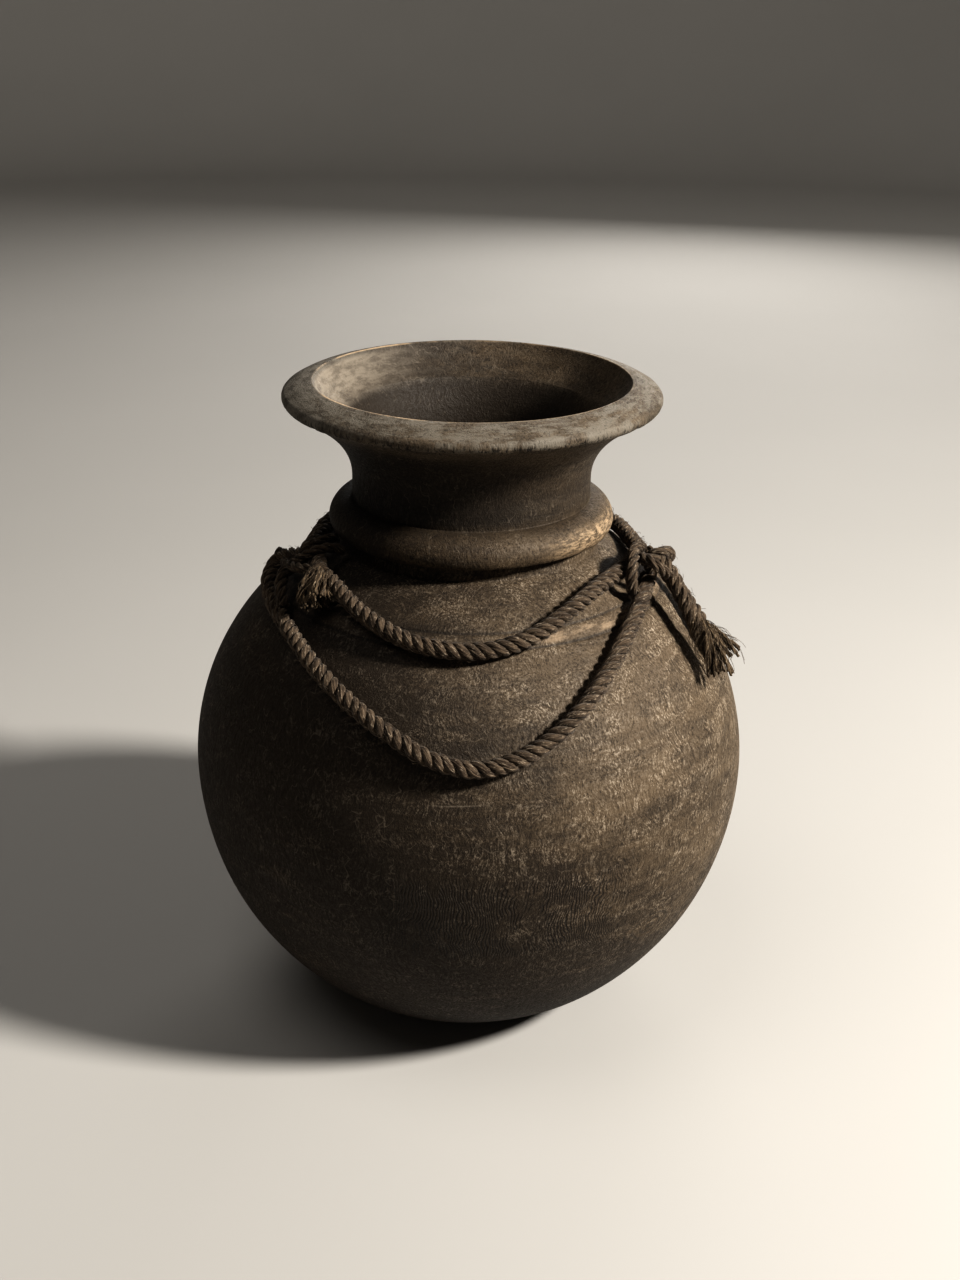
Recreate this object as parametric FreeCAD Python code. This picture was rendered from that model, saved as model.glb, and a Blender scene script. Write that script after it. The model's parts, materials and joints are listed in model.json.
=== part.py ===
import FreeCAD
import Part

import math
import os

from FreeCAD import Base

# Turned wooden pot with a rope garland tied round its neck.
# Millimetres, +Z up, origin at the centre of the flat base, front towards -Y.

# ---- vessel: outside ----
BELLY_RADIUS = 110.0        # widest point of the belly
BELLY_HEIGHT = 103.0        # height of the widest point
BELLY_UP = 101.0            # semi-height of the belly's upper half-ellipse
BELLY_DOWN = 114.5          # semi-height of its lower half-ellipse, cut off by the base
BASE_EDGE = 1.5             # bevel where the belly meets the base

SHOULDER_TOP = 193.4        # height where the belly ends under the collar ring
UNDERCUT_RADIUS = 48.6      # bottom of the groove under the collar ring
UNDERCUT_BOTTOM = 196.1
UNDERCUT_TOP = 197.6
# From here up, places on the outline are (radius, height).
RING_EDGE = (53.6, 199.6)   # lower edge of the collar ring
RING_SIDE = (54.5, 201.4)
RING_WIDEST = (54.7, 202.6)
RING_TOP = 211.0            # where the ring's quarter-round meets the neck
RING_ROUND = (4.6, 4.8)     # how far the quarter-round's poles stand out and up

NECK_RADIUS = 45.6
NECK_TOP = 219.0            # the neck starts to flare here
FLARE_START = 13.0          # how far above that the flare's first pole is
FLARE_POLE = (57.0, 241.0)
LIP_UNDER = (68.6, 247.3)   # where the flare meets the rounded lip
LIP_WIDEST = (71.2, 250.1)
LIP_SHOULDER = (69.4, 252.4)
LIP_CROWN = (64.9, 254.5)
MOUTH_EDGE = (59.7, 255.7)  # inner edge of the lip, the highest point

# ---- vessel: inside ----
FUNNEL_POLES = [(56.6, 250.8), (52.6, 246.8)]   # poles of the mouth's shallow funnel
FUNNEL_FOOT = (48.2, 243.6) # the funnel steps down into the throat here
THROAT_POLES = [(45.2, 239.4), (41.0, 233.0)]
THROAT_TOP = (41.0, 224.0)  # straight from here down to the cavity
THROAT_RADIUS = 41.0
CAVITY_RADIUS = 101.0
CAVITY_UP = 92.0
CAVITY_DOWN = 100.0
FLOOR_HEIGHT = 14.0         # thickness of the bottom

# ---- ropes ----
ROPE_RADIUS = 3.2           # quarter-inch three-strand rope
FRAY_LENGTH = 7.0           # unravelled end of a tail
FRAY_RADIUS = 5.2
STUB_FRAY_LENGTH = 9.0      # bushier end at the left knot
STUB_FRAY_RADIUS = 5.6
RUN_SHARE = 0.45            # part of a run that a corner's arc may take

# Rope routes: azimuth in degrees from +X (-90 is the front), radius, height.
NECK_ROUTE = [
    (-10, 66.0, 192.0), (3, 62.8, 191.0), (20, 63.2, 190.8), (43, 63.2, 191.2),
    (66, 63.0, 191.2), (90, 63.0, 191.4), (113, 62.0, 191.9), (132, 60.2, 192.7),
    (149, 59.2, 193.0), (163, 58.6, 192.9), (176, 58.9, 192.8), (187, 61.0, 192.5),
    (196, 64.6, 192.4),
]
UPPER_SWAG_ROUTE = [
    (-153, 66.2, 192.6), (-143, 65.2, 190.2), (-131, 68.4, 187.3), (-119, 73.2, 183.8),
    (-105, 78.0, 180.0), (-90, 79.8, 178.4), (-76, 77.6, 180.8), (-62.5, 71.8, 186.4),
    (-48.5, 66.4, 190.4), (-35, 64.4, 191.8), (-20, 66.0, 192.4),
]
LOWER_SWAG_ROUTE = [
    (-169.2, 72.6, 190.4), (-168, 78.0, 184.3), (-163, 80.1, 180.8), (-155.5, 81.2, 178.4),
    (-146, 82.6, 176.0), (-133, 87.2, 170.8), (-120, 93.3, 164.0), (-108, 98.9, 156.2),
    (-97, 103.9, 148.2), (-87, 104.9, 145.2), (-76, 101.8, 150.8), (-66, 96.0, 160.6),
    (-56.5, 88.8, 169.4), (-46, 81.4, 177.4), (-35, 75.8, 182.2), (-25.5, 72.6, 185.0),
    (-21, 71.6, 186.6),
]
TAIL_FRONT_ROUTE = [
    (-18.4, 74.6, 193.2), (-19.7, 78.6, 190.2), (-21.4, 82.5, 185.6), (-22.7, 86.6, 180.5),
    (-23.9, 90.6, 175.1), (-24.1, 94.4, 169.4), (-24.8, 99.0, 162.6),
]
TAIL_BACK_ROUTE = [
    (-6, 72.4, 187.4), (-6.5, 76.0, 182.8), (-8.6, 79.4, 179.2), (-11.1, 83.1, 175.5),
    (-13.6, 87.1, 171.9), (-16, 91.5, 168.2), (-18, 98.2, 161.6),
]
STUB_ROUTE = [
    (-150, 70.6, 197.0), (-146.5, 72.0, 195.8), (-142.8, 73.6, 193.2),
]
# Knots: the two ends of each wrapped lump, and its radius.
RIGHT_KNOT = [(-13.5, 64.4, 193.4), (-16.8, 74.4, 191.8)]
RIGHT_KNOT_RADIUS = 6.7
LEFT_KNOT = [(-154, 67.4, 193.4), (-165.5, 73.8, 190.6)]
LEFT_KNOT_RADIUS = 7.2


def point(radius, height):
    """A point of the vessel's half section, in the XZ plane."""
    return Base.Vector(radius, 0, height)


def polar(azimuth, radius, height):
    turn = math.radians(azimuth)
    return Base.Vector(radius * math.cos(turn), radius * math.sin(turn), height)


def ellipse_radius(height, across, up):
    """Radius at a height of an upright ellipse about the belly's middle."""
    return across * math.sqrt(1 - ((height - BELLY_HEIGHT) / up) ** 2)


def ellipse_edge(across, up, start, end):
    """Part of that ellipse's outline, between two heights."""
    centre = point(0, BELLY_HEIGHT)
    side = point(across, BELLY_HEIGHT)
    top = point(0, BELLY_HEIGHT + up)
    if up > across:
        curve = Part.Ellipse(top, side, centre)
        turns = [math.acos((height - BELLY_HEIGHT) / up) for height in (end, start)]
    else:
        curve = Part.Ellipse(side, top, centre)
        turns = [math.asin((height - BELLY_HEIGHT) / up) for height in (start, end)]
    return Part.ArcOfEllipse(curve, *turns).toShape()


def line(start, end):
    return Part.LineSegment(point(*start), point(*end)).toShape()


def arc(start, middle, end):
    return Part.Arc(point(*start), point(*middle), point(*end)).toShape()


def spline(poles):
    curve = Part.BezierCurve()
    curve.setPoles([point(*pole) for pole in poles])
    return curve.toShape()


def make_vessel():
    base_radius = ellipse_radius(BASE_EDGE, BELLY_RADIUS, BELLY_DOWN)
    base_flat = base_radius - BASE_EDGE
    shoulder_radius = ellipse_radius(SHOULDER_TOP, BELLY_RADIUS, BELLY_UP)
    floor_radius = ellipse_radius(FLOOR_HEIGHT, CAVITY_RADIUS, CAVITY_DOWN)
    throat_share = math.sqrt(1 - (THROAT_RADIUS / CAVITY_RADIUS) ** 2)
    cavity_top = BELLY_HEIGHT + CAVITY_UP * throat_share
    ring_radius, ring_height = RING_WIDEST
    round_out, round_up = RING_ROUND

    outline = [
        line((0, 0), (base_flat, 0)),
        line((base_flat, 0), (base_radius, BASE_EDGE)),
        ellipse_edge(BELLY_RADIUS, BELLY_DOWN, BASE_EDGE, BELLY_HEIGHT),
        ellipse_edge(BELLY_RADIUS, BELLY_UP, BELLY_HEIGHT, SHOULDER_TOP),
        line((shoulder_radius, SHOULDER_TOP), (UNDERCUT_RADIUS, UNDERCUT_BOTTOM)),
        line((UNDERCUT_RADIUS, UNDERCUT_BOTTOM), (UNDERCUT_RADIUS, UNDERCUT_TOP)),
        line((UNDERCUT_RADIUS, UNDERCUT_TOP), RING_EDGE),
        arc(RING_EDGE, RING_SIDE, RING_WIDEST),
        spline([RING_WIDEST, (ring_radius, ring_height + round_up),
                (NECK_RADIUS + round_out, RING_TOP), (NECK_RADIUS, RING_TOP)]),
        line((NECK_RADIUS, RING_TOP), (NECK_RADIUS, NECK_TOP)),
        spline([(NECK_RADIUS, NECK_TOP), (NECK_RADIUS, NECK_TOP + FLARE_START),
                FLARE_POLE, LIP_UNDER]),
        arc(LIP_UNDER, LIP_WIDEST, LIP_SHOULDER),
        arc(LIP_SHOULDER, LIP_CROWN, MOUTH_EDGE),
        spline([MOUTH_EDGE, *FUNNEL_POLES, FUNNEL_FOOT]),
        spline([FUNNEL_FOOT, *THROAT_POLES, THROAT_TOP]),
        line(THROAT_TOP, (THROAT_RADIUS, cavity_top)),
        ellipse_edge(CAVITY_RADIUS, CAVITY_UP, BELLY_HEIGHT, cavity_top),
        ellipse_edge(CAVITY_RADIUS, CAVITY_DOWN, FLOOR_HEIGHT, BELLY_HEIGHT),
        line((floor_radius, FLOOR_HEIGHT), (0, FLOOR_HEIGHT)),
        line((0, FLOOR_HEIGHT), (0, 0)),
    ]
    wire = Part.Wire(Part.__sortEdges__(outline))
    turned = Part.Face(wire).revolve(Base.Vector(0, 0, 0), Base.Vector(0, 0, 1), 360)
    return turned.removeSplitter()


def rounded_path(corners, name):
    """Straight runs through the corners, with a tangent arc at each inner corner."""
    edges = []
    radii = []
    start = corners[0]
    for before, corner, after in zip(corners, corners[1:], corners[2:]):
        back = (before - corner).normalize()
        ahead = (after - corner).normalize()
        turn = math.pi - back.getAngle(ahead)
        shorter = min((before - corner).Length, (after - corner).Length)
        reach = RUN_SHARE * shorter
        radius = reach / math.tan(turn / 2)
        radii.append(radius)
        arc_start = corner + back * reach
        arc_end = corner + ahead * reach
        bisector = (back + ahead).normalize()
        centre = corner + bisector * (radius / math.cos(turn / 2))
        arc_middle = centre - bisector * radius
        edges.append(Part.LineSegment(start, arc_start).toShape())
        edges.append(Part.Arc(arc_start, arc_middle, arc_end).toShape())
        start = arc_end
    edges.append(Part.LineSegment(start, corners[-1]).toShape())
    path = Part.Wire(edges)
    print(f"{name}: length {path.Length:.1f} mm, arc radii "
          + ", ".join(f"{radius:.0f}" for radius in radii))
    return path


def make_rope(route, name):
    corners = [polar(*place) for place in route]
    path = rounded_path(corners, name)
    along = (corners[1] - corners[0]).normalize()
    ring = Part.Wire([Part.Circle(corners[0], along, ROPE_RADIUS).toShape()])
    tube = path.makePipeShell([ring], True, False)
    expected = math.pi * ROPE_RADIUS ** 2 * path.Length
    print(f"  volume {tube.Volume:.0f} mm3, section times length {expected:.0f} mm3")
    return tube


def make_fray(route, length, end_radius):
    """The bush of loose fibres at the end of a rope: a cone on the rope's last run."""
    last = polar(*route[-1])
    along = (last - polar(*route[-2])).normalize()
    return Part.makeCone(ROPE_RADIUS, end_radius, length, last, along)


def make_knot(ends, radius):
    """The outer shape of a knot: a round bar with ball ends."""
    start, end = (polar(*place) for place in ends)
    along = end - start
    bar = Part.makeCylinder(radius, along.Length, start, along)
    balls = [Part.makeSphere(radius, centre) for centre in (start, end)]
    return bar.fuse(balls).removeSplitter()


def main():
    os.makedirs("parts", exist_ok=True)
    ropes = {
        "neck_rope": NECK_ROUTE,
        "upper_swag_rope": UPPER_SWAG_ROUTE,
        "lower_swag_rope": LOWER_SWAG_ROUTE,
        "right_tail_front": TAIL_FRONT_ROUTE,
        "right_tail_back": TAIL_BACK_ROUTE,
        "left_stub": STUB_ROUTE,
    }
    shapes = {name: make_rope(route, name) for name, route in ropes.items()}
    shapes["vessel"] = make_vessel()
    shapes["right_knot"] = make_knot(RIGHT_KNOT, RIGHT_KNOT_RADIUS)
    shapes["left_knot"] = make_knot(LEFT_KNOT, LEFT_KNOT_RADIUS)
    shapes["right_fray_front"] = make_fray(TAIL_FRONT_ROUTE, FRAY_LENGTH, FRAY_RADIUS)
    shapes["right_fray_back"] = make_fray(TAIL_BACK_ROUTE, FRAY_LENGTH, FRAY_RADIUS)
    shapes["left_fray"] = make_fray(STUB_ROUTE, STUB_FRAY_LENGTH, STUB_FRAY_RADIUS)
    for name, shape in shapes.items():
        print(name, "valid", shape.isValid(), "volume", round(shape.Volume))
        shape.exportStep(f"parts/{name}.step")


main()
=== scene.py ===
import json
import math
import random

import bpy
import numpy as np
from mathutils import Matrix, Vector, noise

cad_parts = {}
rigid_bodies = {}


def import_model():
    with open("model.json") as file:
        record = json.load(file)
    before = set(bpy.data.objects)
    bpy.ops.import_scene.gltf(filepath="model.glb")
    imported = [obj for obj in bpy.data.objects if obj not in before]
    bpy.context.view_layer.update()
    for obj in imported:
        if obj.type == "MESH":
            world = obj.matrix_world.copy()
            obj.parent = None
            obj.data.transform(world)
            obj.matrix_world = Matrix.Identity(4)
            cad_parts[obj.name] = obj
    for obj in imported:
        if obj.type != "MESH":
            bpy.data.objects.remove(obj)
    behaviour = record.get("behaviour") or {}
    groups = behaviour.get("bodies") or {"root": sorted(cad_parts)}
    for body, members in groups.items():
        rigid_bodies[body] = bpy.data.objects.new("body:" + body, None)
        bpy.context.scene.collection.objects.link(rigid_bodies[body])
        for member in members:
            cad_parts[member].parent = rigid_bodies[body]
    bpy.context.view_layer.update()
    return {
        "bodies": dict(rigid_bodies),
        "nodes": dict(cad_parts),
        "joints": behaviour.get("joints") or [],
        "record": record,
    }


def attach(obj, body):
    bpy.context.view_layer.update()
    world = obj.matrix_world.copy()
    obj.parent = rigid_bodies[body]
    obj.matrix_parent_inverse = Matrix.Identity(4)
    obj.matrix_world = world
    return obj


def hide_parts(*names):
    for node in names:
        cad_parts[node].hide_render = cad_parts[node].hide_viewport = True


# Turned wooden pot with a rope garland tied round its neck. Metres, +Z up, front towards -Y.

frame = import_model()

TAU = 2 * math.pi
MM = 0.001

# ---------------------------------------------------------------- camera

CAMERA_PLACE = (0.0, -0.5855, 0.4083)
CAMERA_DOWN = math.radians(23.92)
CAMERA_RIGHT = math.radians(0.39)
CAMERA_ROLL = math.radians(0.71)
LENS = 45.0
SENSOR = 36.0


def make_camera():
    camera = bpy.data.objects.new("camera", bpy.data.cameras.new("camera"))
    bpy.context.scene.collection.objects.link(camera)
    camera.data.sensor_fit = "VERTICAL"
    camera.data.sensor_height = SENSOR
    camera.data.lens = LENS
    camera.data.clip_start = 0.05
    turn = (Matrix.Rotation(-CAMERA_RIGHT, 4, "Z")
            @ Matrix.Rotation(math.radians(90) - CAMERA_DOWN, 4, "X")
            @ Matrix.Rotation(CAMERA_ROLL, 4, "Z"))
    camera.matrix_world = Matrix.Translation(CAMERA_PLACE) @ turn
    bpy.context.scene.camera = camera


make_camera()

# ---------------------------------------------------------------- rope routes

ROPE_RADIUS = 3.2 * MM
TAIL_LOOSE = 12 * MM            # end of each tail where the rope comes undone
LAY_LENGTH = 11.7 * MM          # one turn of a strand round the rope
CURVE_STEPS = 24                # points read from a route's curve, between its control points

# Places are azimuth in degrees from +X (-90 is the front), radius and height in metres.
NECK_ROUTE = [
    (-10, 0.0660, 0.1920), (3, 0.0628, 0.1910), (20, 0.0632, 0.1908), (43, 0.0632, 0.1912),
    (66, 0.0630, 0.1912), (90, 0.0630, 0.1914), (113, 0.0620, 0.1919), (132, 0.0602, 0.1927),
    (149, 0.0592, 0.1930), (163, 0.0586, 0.1929), (176, 0.0589, 0.1928), (187, 0.0610, 0.1925),
    (196, 0.0646, 0.1924),
]
UPPER_SWAG_ROUTE = [
    (-153, 0.0662, 0.1926), (-143, 0.0652, 0.1902), (-131, 0.0684, 0.1873),
    (-119, 0.0732, 0.1838), (-105, 0.0780, 0.1800), (-90, 0.0798, 0.1784),
    (-76, 0.0776, 0.1808), (-62.5, 0.0718, 0.1864), (-48.5, 0.0664, 0.1904),
    (-35, 0.0644, 0.1918), (-20, 0.0660, 0.1924),
]
LOWER_SWAG_ROUTE = [
    (-169.2, 0.0726, 0.1904), (-168, 0.0780, 0.1843), (-163, 0.0801, 0.1808),
    (-155.5, 0.0812, 0.1784), (-146, 0.0826, 0.1760), (-133, 0.0872, 0.1708),
    (-120, 0.0933, 0.1640), (-108, 0.0989, 0.1562), (-97, 0.1039, 0.1482),
    (-87, 0.1049, 0.1452), (-76, 0.1018, 0.1508), (-66, 0.0960, 0.1606),
    (-56.5, 0.0888, 0.1694), (-46, 0.0814, 0.1774), (-35, 0.0758, 0.1822),
    (-25.5, 0.0726, 0.1850), (-21, 0.0716, 0.1866),
]
TAIL_FRONT_ROUTE = [
    (-18.4, 0.0746, 0.1932), (-19.7, 0.0786, 0.1902), (-21.4, 0.0825, 0.1856),
    (-22.7, 0.0866, 0.1805), (-23.9, 0.0906, 0.1751), (-24.1, 0.0944, 0.1694),
    (-24.8, 0.0990, 0.1626),
]
TAIL_BACK_ROUTE = [
    (-6, 0.0724, 0.1874), (-6.5, 0.0760, 0.1828), (-8.6, 0.0794, 0.1792),
    (-11.1, 0.0831, 0.1755), (-13.6, 0.0871, 0.1719), (-16, 0.0915, 0.1682),
    (-18, 0.0982, 0.1616),
]

# The knots' own strands of rope: each one's radius, then its route.
RIGHT_KNOT_ROUTES = {
    "over": (2.35 * MM, [
        (-12, 0.0655, 0.1930), (-16.2, 0.0669, 0.1951), (-20.2, 0.0667, 0.1976),
        (-24.5, 0.0668, 0.1981), (-29, 0.0685, 0.1968), (-32.6, 0.0704, 0.1937),
        (-33.5, 0.0709, 0.1897), (-32.9, 0.0713, 0.1861), (-30, 0.0716, 0.1836)]),
    "bight": (2.8 * MM, [
        (-21.3, 0.0693, 0.1924), (-21, 0.0722, 0.1947), (-18.4, 0.0752, 0.1952),
        (-13.5, 0.0768, 0.1934), (-8.5, 0.0768, 0.1899), (-10, 0.0745, 0.1880),
        (-15.5, 0.0725, 0.1885)]),
    "wrap": (2.1 * MM, [
        (-21.1, 0.0664, 0.1943), (-25.3, 0.0706, 0.1963), (-27.3, 0.0744, 0.1963),
        (-27.3, 0.0772, 0.1948), (-25.2, 0.0791, 0.1922), (-21.6, 0.0797, 0.1887)]),
    "dip": (1.9 * MM, [
        (-9.9, 0.0656, 0.1936), (-14.7, 0.0686, 0.1947), (-15.9, 0.0715, 0.1940),
        (-14.6, 0.0741, 0.1916), (-12.6, 0.0754, 0.1887)]),
    "under": (2.5 * MM, [
        (-20.2, 0.0722, 0.1862), (-22.0, 0.0724, 0.1905), (-21.6, 0.0728, 0.1930),
        (-18.7, 0.0739, 0.1928), (-15.1, 0.0754, 0.1900)]),
}
LEFT_KNOT_ROUTES = {
    "fold": (2.9 * MM, [
        (-152, 0.0640, 0.1922), (-158, 0.0664, 0.1930), (-163.5, 0.0696, 0.1921),
        (-167.6, 0.0733, 0.1896), (-169, 0.0764, 0.1866), (-168, 0.0780, 0.1842)]),
    "inner": (2.5 * MM, [
        (-156.6, 0.0705, 0.1915), (-157, 0.0748, 0.1897), (-155, 0.0778, 0.1868),
        (-152.4, 0.0793, 0.1832), (-149, 0.0802, 0.1794)]),
    "across": (2.0 * MM, [
        (-164.5, 0.0728, 0.1890), (-159.5, 0.0742, 0.1906), (-153.9, 0.0738, 0.1920),
        (-148.7, 0.0724, 0.1933), (-145.2, 0.0694, 0.1941), (-144.6, 0.0650, 0.1935)]),
    "wrap": (1.9 * MM, [
        (-164.2, 0.0528, 0.1966), (-162.6, 0.0556, 0.1977), (-159.4, 0.0600, 0.1982),
        (-158, 0.0640, 0.1972), (-157.7, 0.0676, 0.1949), (-159.3, 0.0696, 0.1914)]),
    "second wrap": (2.0 * MM, [
        (-151.3, 0.0540, 0.1960), (-152.4, 0.0572, 0.1974), (-152.2, 0.0615, 0.1981),
        (-152, 0.0662, 0.1973), (-153.9, 0.0702, 0.1950), (-157.2, 0.0724, 0.1912)]),
    "stub": (2.9 * MM, [
        (-152.6, 0.0628, 0.1938), (-147.3, 0.0665, 0.1947), (-144.4, 0.0692, 0.1941),
        (-142.8, 0.0709, 0.1924)]),
}

# Frayed ends: where each bundle of loose yarns runs, and its radius on the way.
FRONT_FRAY_ROUTE = [
    (-23.8, 0.0899, 0.1761), (-24, 0.0933, 0.1712), (-24.1, 0.0974, 0.1651),
    (-24.5, 0.1012, 0.1591), (-25.5, 0.1043, 0.1527),
]
FRONT_FRAY_WIDTHS = [1.8 * MM, 3.0 * MM, 3.3 * MM, 4.2 * MM, 5.6 * MM]
BACK_FRAY_ROUTE = [
    (-15.9, 0.0902, 0.1696), (-16.8, 0.0939, 0.1661), (-16.6, 0.0978, 0.1619),
    (-14.5, 0.1015, 0.1571), (-13.4, 0.1043, 0.1527),
]
BACK_FRAY_WIDTHS = [1.4 * MM, 2.2 * MM, 2.8 * MM, 3.4 * MM, 4.4 * MM]
TUFT_ROUTE = [
    (-145.5, 0.0688, 0.1933), (-142.9, 0.0708, 0.1920), (-140.5, 0.0728, 0.1895),
    (-138.6, 0.0747, 0.1869), (-136.7, 0.0766, 0.1847),
]
TUFT_WIDTHS = [2.6 * MM, 3.8 * MM, 4.8 * MM, 5.4 * MM, 5.8 * MM]


def place(azimuth, radius, height):
    turn = math.radians(azimuth)
    return Vector((radius * math.cos(turn), radius * math.sin(turn), height))


def spline_points(route, spacing):
    """Evenly spaced points on the route's smooth curve."""
    curve = bpy.data.curves.new("route", "CURVE")
    curve.dimensions = "3D"
    curve.resolution_u = CURVE_STEPS
    spline = curve.splines.new("NURBS")
    spline.points.add(len(route) - 1)
    for control, where in zip(spline.points, route):
        control.co = (*place(*where), 1)
    spline.order_u = 3
    spline.use_endpoint_u = True
    holder = bpy.data.objects.new("route", curve)
    mesh = bpy.data.meshes.new_from_object(holder)
    read = np.array([vertex.co for vertex in mesh.vertices])
    bpy.data.objects.remove(holder)
    bpy.data.meshes.remove(mesh)
    bpy.data.curves.remove(curve)
    along = distance_along(read)
    count = max(3, round(along[-1] / spacing) + 1)
    even = np.linspace(0, along[-1], count)
    return np.stack([np.interp(even, along, read[:, axis]) for axis in range(3)], axis=1)


def distance_along(points):
    steps = np.linalg.norm(np.diff(points, axis=0), axis=1)
    return np.concatenate([[0], np.cumsum(steps)])


def unit(vectors):
    return vectors / np.linalg.norm(vectors, axis=-1, keepdims=True)


def turning_frame(path, first=(0, 0, 1)):
    """Tangents and two normals that twist as little as possible along the path."""
    tangents = unit(np.gradient(path, axis=0))
    normals = np.empty_like(path)
    normal = np.array(first, dtype=float)
    for index, tangent in enumerate(tangents):
        normal = normal - tangent * normal.dot(tangent)
        normal /= np.linalg.norm(normal)
        normals[index] = normal
    return tangents, normals, np.cross(tangents, normals)


# ---------------------------------------------------------------- mesh building

def add_mesh(name, corners, faces, material):
    mesh = bpy.data.meshes.new(name)
    mesh.from_pydata(corners, [], faces)
    mesh.polygons.foreach_set("use_smooth", [True] * len(mesh.polygons))
    mesh.materials.append(material)
    mesh.update()
    made = bpy.data.objects.new(name, mesh)
    bpy.context.scene.collection.objects.link(made)
    return made


class Builder:
    """Collects closed tubes for one mesh, with the fibre places that its material reads."""

    def __init__(self):
        self.corners, self.faces, self.fibre = [], [], []
        self.count = 0

    def tube(self, path, normals, radii, spin, shift):
        """A capped tube. radii has one row per path point and one column per side.

        spin turns the columns about the path. The material follows the columns, so yarns
        that twist stay in line with their ridges. shift moves it along the tube."""
        tangents = unit(np.gradient(path, axis=0))
        across = unit(normals - tangents * np.sum(normals * tangents, axis=1)[:, None])
        up = np.cross(tangents, across)
        rows, sides = radii.shape
        angle = TAU * np.arange(sides) / sides
        turned = angle[None, :] + np.asarray(spin)[:, None]
        offset = (np.cos(turned)[..., None] * across[:, None]
                  + np.sin(turned)[..., None] * up[:, None])
        skin = path[:, None] + radii[..., None] * offset
        size = radii.mean()
        along = distance_along(path)
        fibre = np.empty((rows, sides, 3))
        fibre[..., 0] = np.cos(angle)[None] * size
        fibre[..., 1] = np.sin(angle)[None] * size
        fibre[..., 2] = along[:, None] + shift
        ends = np.stack([path[0], path[-1]])
        end_fibre = np.array([[0, 0, along[0] + shift], [0, 0, along[-1] + shift]])
        self.corners.append(np.concatenate([skin.reshape(-1, 3), ends]))
        self.fibre.append(np.concatenate([fibre.reshape(-1, 3), end_fibre]))
        grid = self.count + np.arange(rows * sides).reshape(rows, sides)
        ahead = np.roll(grid, -1, axis=1)
        walls = np.stack([grid[:-1], ahead[:-1], ahead[1:], grid[1:]], axis=-1)
        self.faces += walls.reshape(-1, 4).tolist()
        first, last = self.count + rows * sides, self.count + rows * sides + 1
        for near, far in zip(grid[0], ahead[0]):
            self.faces.append([first, far, near])
        for near, far in zip(grid[-1], ahead[-1]):
            self.faces.append([last, near, far])
        self.count += rows * sides + 2

    def piece(self, name, material):
        made = add_mesh(name, np.concatenate(self.corners), self.faces, material)
        fibre = made.data.attributes.new("fibre", "FLOAT_VECTOR", "POINT")
        fibre.data.foreach_set("vector", np.concatenate(self.fibre).ravel())
        return made


# ---------------------------------------------------------------- rope

STRANDS = 3
STRAND_SHARE = 0.445        # strand radius over rope radius
STRAND_OUT = 1 - STRAND_SHARE
YARNS = 7                   # ridges round one strand
SIDES = 4 * YARNS
YARN_TURN = 560.0           # radians per metre, against the strands' own turn
RIDGE = 0.085               # height of a yarn's ridge over the strand's radius
STEP = 0.5 * MM
LOOSENING = 5 * MM          # a rope that comes undone narrows over this length
LOOSE_THINNING = 0.45       # and by this share of its radius
ROPE_STRAYS = 0.8           # loose fibres on each mm of rope
KNOT_STRAYS = 0.6           # and on each mm of a knot's strands
STRAY_POINTS = 6
STRAND_SHIFT = 0.13         # metres between two strands' places in the fibre material
KNOT_PHASE = 1.3            # radians between the starting turns of a knot's strands
# How uneven a strand is: how much, and how many swings in about a metre.
TURN_WANDER = (0.25, 90)    # radians
DRIFT = (0.08, 160)         # share of its distance from the rope's middle
LUMPS = (0.07, 420)         # share of its radius
RIDGE_CHANGE = 300


def smooth_noise(places, seed, scale):
    """One smooth random number, about -1 to 1, for each distance."""
    return np.array([noise.noise((where * scale, seed * 7.31, 0.5)) for where in places])


def add_rope(builder, path, radius, seed, phase=0.0, loose=0.0):
    """Three strands laid to the right round the path, each of yarns laid to the left.

    loose is the length at the far end where the rope is thinner and coming undone."""
    tangents, normals, sides = turning_frame(path)
    along = distance_along(path)
    slack = np.clip((along - along[-1] + loose) / LOOSENING, 0, 1 if loose else 0)
    radius = radius * (1 - LOOSE_THINNING * slack)
    ridge = RIDGE * np.cos(YARNS * TAU * np.arange(SIDES) / SIDES)
    for strand in range(STRANDS):
        turn = TAU * (along / LAY_LENGTH + strand / STRANDS) + phase
        turn = turn + TURN_WANDER[0] * smooth_noise(along, seed + strand + 60, TURN_WANDER[1])
        outward = np.cos(turn)[:, None] * normals + np.sin(turn)[:, None] * sides
        drift = DRIFT[0] * smooth_noise(along, seed + strand, DRIFT[1])
        lumps = 1 + LUMPS[0] * smooth_noise(along, seed + strand + 20, LUMPS[1])
        centre = path + (STRAND_OUT * radius * (1 + drift))[:, None] * outward
        change = smooth_noise(along, seed + 40, RIDGE_CHANGE)
        uneven = 1 + ridge[None, :] * (1 + change)[:, None]
        radii = (STRAND_SHARE * radius * lumps)[:, None] * uneven
        builder.tube(centre, outward, radii, -YARN_TURN * along, STRAND_SHIFT * (seed + strand))


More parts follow.
